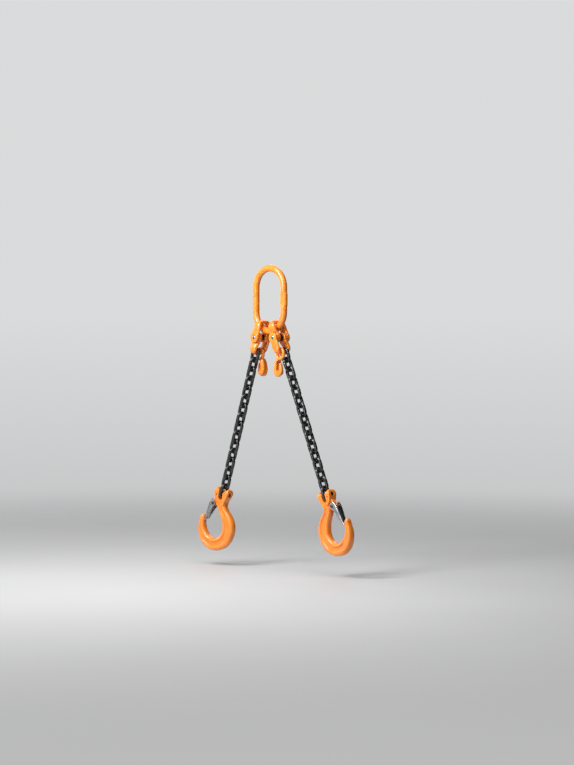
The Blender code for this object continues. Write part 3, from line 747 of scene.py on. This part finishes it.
def chain_link():
    """Round-wire link in the XZ plane, butt-welded in the middle of one side."""
    straight = LINK_HALF_LENGTH - LINK_HALF_WIDTH
    sides = np.linspace(1, -1, 18)[1:-1]
    path = arc((0, straight), LINK_HALF_WIDTH, 0, 180, 26)
    path += [(-LINK_HALF_WIDTH, straight * share) for share in sides]
    path += arc((0, -straight), LINK_HALF_WIDTH, 180, 360, 26)
    path += [(LINK_HALF_WIDTH, -straight * share) for share in sides]
    path = np.array([(x, 0.0, z) for x, z in path])
    at_weld = np.exp(-(path[:, 2] / 1.1) ** 2) * (path[:, 0] > 0)
    beside = np.exp(-((np.abs(path[:, 2]) - 2.4) / 0.9) ** 2) * (path[:, 0] > 0)
    obj = bar(path, WIRE_RADIUS * (1 + 0.075 * at_weld - 0.02 * beside), 28, closed=True)
    forge(obj, 0.05, 4.0, 4)
    where = coordinates(obj)
    inner = LINK_HALF_LENGTH - WIRE_RADIUS
    rub = np.maximum(near(where, (0, 0, inner), 4.6), near(where, (0, 0, -inner), 4.6))
    mark(obj, rub)
    return in_metres(obj)


def chain(leg, mesh):
    """Odd links lie in the plane of the legs, even links across it."""
    first = joint_point(leg + "_link_02_hinge")
    last = joint_point(f"{leg}_link_{LINKS_PER_LEG}_hinge")
    for number in range(1, LINKS_PER_LEG + 1):
        node = f"{leg}_chain_link_{number:02d}"
        low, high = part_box(node)
        where = upright((low + high) / 2, first - last, LEG_ACROSS[leg])
        where = where @ Matrix.Rotation(math.pi / 2 * (number % 2 == 0), 4, "Z")
        if number % 4 > 1:
            where = where @ Matrix.Rotation(math.pi, 4, "Z")
        put(node, mesh, where, f"{leg}_link_{number:02d}", "black_chain")


# ---------------------------------------------------------------- sling hook

def bowl_ring(angle):
    """Inner and outer edge and thickness round the bowl: 180 spine, 270 bottom, 360 tip."""
    width = np.interp(angle, (180, 225, 285, 320, 360), (25.0, 27.5, 26.5, 19.5, 11.8))
    thickness = 19.0 if angle < 300 else 19.0 - 5.0 * (angle - 300) / 60
    inside = BOWL_RADIUS - SPINE_FULLNESS * max(0.0, (262 - angle) / 82) ** 1.3
    inner = arc(BOWL_CENTRE, inside, angle, angle, 1)[0]
    outer = arc(BOWL_CENTRE, BOWL_RADIUS + width, angle, angle, 1)[0]
    return (*inner, *outer, thickness)


def hook_forging():
    """The hook's body from the clevis down the spine, round the bowl and up to the tip."""
    rings = [
        (8.0, -12.0, -10.0, -12.0, 17.0),
        (6.5, -27.0, -13.0, -24.0, 17.0),
        (2.5, -39.0, -19.5, -34.0, 17.0),
        (-6.0, -50.0, -33.0, -44.0, 17.5),
        (-12.8, -61.0, -42.5, -57.0, 18.0),
    ]
    rings += [bowl_ring(angle) for angle in (180, 200, 222, 244, 262, 278, 296, 316, 338, 360)]
    rings += [(39.3, -66.5, 50.0, -65.5, 13.0), (42.5, -61.0, 48.3, -61.0, 8.5)]
    table = smooth_path(rings, 10)
    travel = np.linspace(0, len(rings) - 1, len(table))
    panel = 3.3 * ease(travel, 0.7, 2.2) * (1 - ease(travel, 10.2, 12.2))
    skins = []
    across, deep = squared_circle(np.linspace(0, 2 * math.pi, 96, endpoint=False), 2 / 3.2)
    share = (across + 1) / 2
    for (x_in, z_in, x_out, z_out, thickness), depth in zip(table, panel):
        recess = depth * ease(share, 0.25, 0.34) * (1 - ease(share, 0.62, 0.70))
        y = deep * (thickness / 2 + 0.15) - np.sign(deep) * recess * (np.abs(deep) > 0.5)
        x = x_in + (x_out - x_in) * share
        z = z_in + (z_out - z_in) * share
        skins.append(np.stack([x, y, z], axis=1))
    return skin(skins)


def clevis_block():
    """Two ears round the pin: where a front outline and a side outline overlap."""
    wide = CLEVIS_HALF_WIDTH + 0.4
    right = smooth_path([(wide - 5.5, 12.2), (wide - 1.4, 9.4), (wide, 4.0), (wide, -3.0),
                         (16.4, -9.0), (13.2, -15.0), (8.0, -20.0)], 6)
    left = smooth_path([(-9.0, -30.0), (-11.6, -24.0), (-12.0, -18.0), (-14.2, -12.0),
                        (-17.2, -6.5), (-wide, -1.0), (-wide, 4.6), (1.4 - wide, 10.2),
                        (5.5 - wide, 13.2)], 6)
    front = [tuple(point) for point in np.vstack([right, left])]
    block = prism(front, -EAR_RADIUS - 2, EAR_RADIUS + 2)
    side = arc((0, 0), EAR_RADIUS + 0.3, -24, 204, 60) + [(-9.0, -32.0), (9.0, -32.0)]
    inward = arc((0, 1.0), EAR_RADIUS + 0.3, -24, 204, 60) + [(-9.0, -32.0), (9.0, -32.0)]
    sides = fuse([prism(side, 0, wide + 5, "X"), prism(inward, -wide - 5, 0.5, "X")], 0.6, 2)
    return fuse([cut(block, [sides], "INTERSECT")], 0.65, 14)


def latch_lug():
    """Web below the clevis that carries the latch rivet."""
    outline = [(3.0, -12.0), (3.0, -31.0)]
    outline += arc(LATCH_PIVOT, LUG_RADIUS, 230, 380, 40) + [(15.0, -8.0)]
    return prism(outline, -LUG_HALF_THICKNESS, LUG_HALF_THICKNESS)


def hook_body():
    """Bowl, clevis and lug as one forging, slotted and bored."""
    obj = fuse([hook_forging(), clevis_block()], 0.60, 5)
    obj = fuse([obj, latch_lug()], 0.50, 3)
    half = CLEVIS_SLOT / 2
    slot_floor = CLEVIS_SLOT_DEPTH - half
    flare = half + 8.0
    slot = [(half, 2.0), (flare, 12.0), (flare, 20.0), (-flare, 20.0), (-flare, 12.0),
            (-half, 2.0)]
    slot += arc((0, -slot_floor), half, 180, 360, 32)
    x, z = LATCH_PIVOT
    cutters = [
        prism(slot, -20, 20),
        rod((0, 0), CLEVIS_PIN_RADIUS + PLAY, -30, 30, "X"),
        rod((ROLL_PIN_X, -ROLL_PIN_DROP), ROLL_PIN_RADIUS + 0.25, -20, 20),
        rod((x, z), LATCH_PIN_RADIUS + PLAY, -20, 20),
    ]
    obj = fuse([cut(obj, cutters)], FINE_VOXEL, 2)
    forge(obj, 0.16, 11.0, 5)
    where = coordinates(obj)
    saddle = (BOWL_CENTRE[0], 0, BOWL_CENTRE[1] - BOWL_RADIUS)
    rub = np.maximum(near(where, saddle, 16.0), near(where, (45.0, 0, -61.0), 6.0) * 0.6)
    mark(obj, rub * 0.55)
    return in_metres(thin_out(obj, FORGING_FACES["sling_hook"]))


def clevis_pin():
    """Load pin on X with a waist that the roll pin crosses."""
    end = CLEVIS_HALF_WIDTH - 0.8
    full = CLEVIS_PIN_RADIUS
    neck = 3.0
    reach = ROLL_PIN_RADIUS + 0.6
    profile = [(0.02, end - 0.6), (1.5, end - 0.6), (2.0, end), (full - 0.8, end),
               (full, end - 0.8),
               (full, ROLL_PIN_X + reach), (neck, ROLL_PIN_X + reach - 0.4),
               (neck, ROLL_PIN_X - reach + 0.4), (full, ROLL_PIN_X - reach), (full, 0.8 - end),
               (full - 0.8, -end), (2.0, -end), (1.5, 0.6 - end), (0.02, 0.6 - end)]
    return in_metres(lathe(profile, "X"), 30)


def roll_pin():
    """Slotted spring pin, a rolled strip with its gap to one side."""
    end = 8.6
    profile = [(0.85, -end), (ROLL_PIN_RADIUS - 0.25, -end), (ROLL_PIN_RADIUS, 0.4 - end),
               (ROLL_PIN_RADIUS, end - 0.4), (ROLL_PIN_RADIUS - 0.25, end), (0.85, end)]
    angles = np.radians(np.linspace(14, 346, 56))
    rings = [[(r * math.cos(a), y, r * math.sin(a)) for r, y in profile] for a in angles]
    return in_metres(skin(rings), 40)


def latch_narrowing(level):
    """Half width the latch has lost at this height above its pivot."""
    return LATCH_TAPER * (LATCH_TOP - level) / (LATCH_TOP + LATCH_LENGTH)


def latch_sheet():
    """Pressed channel with bent corners and a rib down its web; origin on its pivot."""
    end = -LATCH_LENGTH
    web = smooth_path([(LATCH_TOP, 8.2), (3.0, 9.8), (-4.0, 10.3), (-14.0, 9.1), (-33.0, 4.2),
                       (end, 0.9)], 16)
    edge = smooth_path([(LATCH_TOP, 3.2), (5.4, -0.4), (3.8, -3.2), (0.0, -4.8), (-5.0, -4.2),
                        (-12.0, -2.6), (-28.0, -2.4), (end + 4, -2.6), (end + 1.2, -2.3),
                        (end, -1.0)], 10)
    bend = 2.6
    full = LATCH_HALF_WIDTH - LATCH_SHEET / 2
    levels = np.concatenate([np.linspace(LATCH_TOP, 0.0, 26), np.linspace(0.0, end + 5, 60)[1:],
                             np.linspace(end + 5, end, 16)[1:]])
    rows = []
    for level in levels:
        outside = np.interp(-level, -web[:, 0], web[:, 1]) - LATCH_SHEET / 2
        inside = min(np.interp(-level, -edge[:, 0], edge[:, 1]), outside - bend * 0.35)
        turn = min(bend, (outside - inside) * 0.8)
        half = full - latch_narrowing(level)
        cheek = [(x, -half) for x in np.linspace(inside, outside - turn, 10)]
        corner = arc((outside - turn, -half + turn), turn, -90, 0, 9)[1:]
        flat = [(outside, y) for y in np.linspace(-half + turn, 0, 12)[1:]]
        row = cheek + corner + flat
        row += [(x, -y) for x, y in row[-2::-1]]
        rib = 0.55 * ease(-level, 14.0, 19.0) * (1 - ease(-level, 36.0, 41.0))
        on_web = outside - 0.01
        rows.append([(x + rib * (1 - ease(abs(y), 1.6, 3.6)) * (x > on_web), y, level)
                     for x, y in row])
    rows = np.array(rows)
    count = rows.shape[1]
    index = np.arange(rows.shape[0] * count).reshape(-1, count)
    corners = np.stack([index[:-1, :-1], index[:-1, 1:], index[1:, 1:], index[1:, :-1]], axis=-1)
    faces = corners.reshape(-1, 4).tolist()
    mesh = bpy.data.meshes.new("sheet")
    mesh.from_pydata([tuple(point) for point in rows.reshape(-1, 3)], [], faces)
    obj = new_object("sheet", mesh)
    step = obj.modifiers.new("sheet", "SOLIDIFY")
    step.thickness = LATCH_SHEET
    step.offset = 0.0
    step.use_even_offset = True
    settle(obj)
    wide, low = 5.4, -6.0
    window = [(wide, low), (wide, 12.0), (-wide, 12.0), (-wide, low)]
    window += arc((0, low), wide, 180, 360, 24)[1:-1]
    cut(obj, [rod((0, 0), LATCH_PIN_RADIUS + PLAY, -20, 20), prism(window, 4.0, 20.0, "X")])
    obj = round_edges(obj, 0.28, 2, 50)
    return in_metres(obj, 35)


def latch_pin():
    """Tubular rivet through lug and cheeks, rolled over outside each cheek."""
    cheek = LATCH_HALF_WIDTH - latch_narrowing(0) + PLAY
    end = cheek + 1.0
    shank = LATCH_PIN_RADIUS
    half = [(0.02, end - 2.2), (1.15, end - 2.2), (1.3, end - 0.25), (1.6, end), (2.5, end - 0.1),
            (3.05, end - 0.45), (3.2, cheek + 0.1), (3.1, cheek), (shank, cheek), (shank, 0.0)]
    profile = half + [(r, -y) for r, y in half[-2::-1]]
    return in_metres(lathe(profile, "Y", 64), 35)


def latch_spring():
    """Torsion spring beside the lug: one leg down the channel, one short leg up."""
    wire = 0.45
    radius = 3.4
    start = LUG_HALF_THICKNESS + PLAY + wire
    turns = 2
    rise = 2 * wire + 0.05
    path = [(-radius - 0.4, start, 2.2), (-radius - 0.1, start, 1.1)]
    for share in np.linspace(0, 1, turns * 40 + 1):
        angle = math.pi + 2 * math.pi * turns * share
        level = start + rise * turns * share
        path.append((radius * math.cos(angle), level, radius * math.sin(angle)))
    side = path[-1][1]
    leg = smooth_path([(-radius, side, 0.0), (-2.2, side - 0.3, -6.0), (1.0, side - 1.2, -16.0),
                       (1.6, side - 2.0, -21.0)], 14)
    path += [tuple(point) for point in leg[1:]]
    return in_metres(bar(path, wire, 16), 50)


def sling_hook_frame(leg):
    """Origin on the clevis pin, X along it, Z up the hook."""
    origin = joint_point(leg + "_hook_swing")
    x = Vector(JOINTS[leg + "_hook_swing"]["axis"])
    z = Vector(MOUNTS[leg + "_load_seat"]["axis"])
    return upright(origin, z, z.cross(x))


def sling_hook(leg, meshes):
    """Set the hook, its pins and its latch."""
    where = sling_hook_frame(leg)
    body = leg + "_sling_hook"
    put(body, meshes["hook"], where, body, "orange_coat")
    put(leg + "_clevis_pin", meshes["clevis_pin"], where, body, "dark_steel")
    roll = where @ Matrix.Translation(Vector((ROLL_PIN_X, 0, -ROLL_PIN_DROP)) * MM)
    put(leg + "_clevis_roll_pin", meshes["roll_pin"], roll, body, "dark_steel")
    pivot = Vector((LATCH_PIVOT[0], 0, LATCH_PIVOT[1])) * MM
    hinge = where @ Matrix.Translation(pivot) @ Matrix.Rotation(-math.radians(LATCH_ANGLE), 4, "Y")
    put(leg + "_latch_pin", meshes["latch_pin"], hinge, body, "dark_steel")
    put(leg + "_latch", meshes["latch"], hinge, leg + "_latch", "zinc_sheet")
    put(leg + "_latch_spring", meshes["spring"], hinge, leg + "_latch", "spring_steel")


# ---------------------------------------------------------------- studio

AIM = (0.0259, 0.0260, -0.2360)
CAMERA_AZIMUTH = 45.14
CAMERA_ELEVATION = 1.62
CAMERA_ROLL = 0.14
CAMERA_DISTANCE = 5.0
CAMERA_LENS = 110.55
FLOOR_DROP = 0.034              # clears the hooks at every joint limit


def towards(azimuth, elevation):
    """Direction from the object to a viewer; azimuth 0 is the front."""
    a = math.radians(azimuth)
    e = math.radians(elevation)
    return Vector((math.sin(a) * math.cos(e), -math.cos(a) * math.cos(e), math.sin(e)))


def camera():
    data = bpy.data.cameras.new("camera")
    data.lens = CAMERA_LENS
    data.sensor_width = 36.0
    data.clip_end = 50.0
    obj = new_object("camera", data)
    back = towards(CAMERA_AZIMUTH, CAMERA_ELEVATION)
    obj.location = Vector(AIM) + back * CAMERA_DISTANCE
    turn = (-back).to_track_quat("-Z", "Y").to_matrix().to_4x4()
    roll = Matrix.Rotation(math.radians(CAMERA_ROLL), 4, "Z")
    obj.rotation_euler = (turn @ roll).to_euler()
    bpy.context.scene.camera = obj


def softbox(name, azimuth, elevation, distance, size, watts, tint=(1, 1, 1), aim=AIM):
    data = bpy.data.lights.new(name, "AREA")
    data.shape = "RECTANGLE"
    data.size, data.size_y = size
    data.energy = watts
    data.color = tint
    obj = new_object(name, data)
    back = towards(azimuth, elevation)
    obj.location = Vector(aim) + back * distance
    obj.rotation_euler = (-back).to_track_quat("-Z", "Y").to_euler()


def lights():
    softbox("key", -10, 38, 1.75, (0.6, 0.9), 25, (1.0, 0.985, 0.96))
    softbox("strip", 4, 4, 2.3, (0.22, 1.7), 15)
    softbox("front", 52, 46, 2.6, (1.2, 0.8), 14)
    softbox("top", 30, 82, 1.9, (1.2, 1.2), 8)
    softbox("side", -70, 12, 2.6, (0.5, 1.5), 11)
    softbox("back", 215, 35, 2.6, (1.4, 1.2), 9)
    softbox("upper", 5, 30, 0.75, (0.42, 0.42), 4.8, aim=(0.0, 0.0, -0.10))


def world():
    """Dim room, darkest to the right, for reflections; the camera sees a pale backdrop instead."""
    made = bpy.data.worlds.new("studio")
    made.use_nodes = True
    bpy.context.scene.world = made
    tree = made.node_tree
    tree.nodes.clear()
    direction = add(tree, "TexCoord").outputs["Generated"]
    height = add(tree, "SeparateXYZ", {0: direction}).outputs["Z"]
    right = add(tree, "VectorMath", {0: direction, 1: towards(CAMERA_AZIMUTH + 90, 0)},
                operation="DOT_PRODUCT").outputs["Value"]
    room = mix(tree, span(tree, height, -0.5, 0.9), (0.15, 0.15, 0.155, 1), (0.34, 0.34, 0.35, 1))
    room = mix(tree, span(tree, right, -0.5, 0.6), room, (0.020, 0.020, 0.022, 1))
    seen = mix(tree, span(tree, height, -0.115, 0.0),
               (0.51, 0.51, 0.515, 1), (0.70, 0.71, 0.715, 1))
    eye = add(tree, "LightPath").outputs["Is Camera Ray"]
    shown = add(tree, "Background", {"Color": seen, "Strength": 1.0}).outputs[0]
    lit = add(tree, "Background", {"Color": room, "Strength": 1.0}).outputs[0]
    both = add(tree, "MixShader", {0: eye, 1: lit, 2: shown}).outputs[0]
    add(tree, "OutputWorld", {"Surface": both})


def floor():
    """Pale round floor under the hooks that fades into the backdrop."""
    mesh = bpy.data.meshes.new("floor")
    work = bmesh.new()
    bmesh.ops.create_circle(work, cap_ends=True, segments=96, radius=9.0)
    work.to_mesh(mesh)
    work.free()
    obj = new_object("floor", mesh)
    obj.location.z = CAD_BOX[0].z - FLOOR_DROP
    mat, tree, shader = new_finish("floor")
    place = add(tree, "TexCoord").outputs["Object"]
    haze = grain(tree, place, 2.2, 3.0)
    tone = mix(tree, haze, (0.50, 0.505, 0.51, 1), (0.56, 0.565, 0.57, 1))
    tree.links.new(tone, shader.inputs["Base Color"])
    shader.inputs["Roughness"].default_value = 0.6
    length = add(tree, "VectorMath", {0: place}, operation="LENGTH").outputs["Value"]
    fade = span(tree, length, 0.35, 2.6)
    fade.node.interpolation_type = "SMOOTHSTEP"
    clear = add(tree, "BsdfTransparent").outputs[0]
    both = add(tree, "MixShader", {0: fade, 1: shader.outputs[0], 2: clear}).outputs[0]
    tree.links.new(both, tree.nodes["Material Output"].inputs["Surface"])
    mesh.materials.append(mat)


# ---------------------------------------------------------------- the sling

def sling():
    master_link()
    half, sleeve, pin = coupling_half(), coupling_sleeve(), coupling_pin()
    grab, link = grab_hook(), chain_link()
    meshes = {"hook": hook_body(), "clevis_pin": clevis_pin(), "roll_pin": roll_pin(),
              "latch": latch_sheet(), "latch_pin": latch_pin(), "spring": latch_spring()}
    for leg in LEG_ACROSS:
        coupling(leg, half, sleeve, pin)
        set_grab_hook(leg, grab)
        chain(leg, link)
        sling_hook(leg, meshes)


sling()
camera()
lights()
world()
floor()
bpy.context.scene.view_settings.view_transform = "Standard"
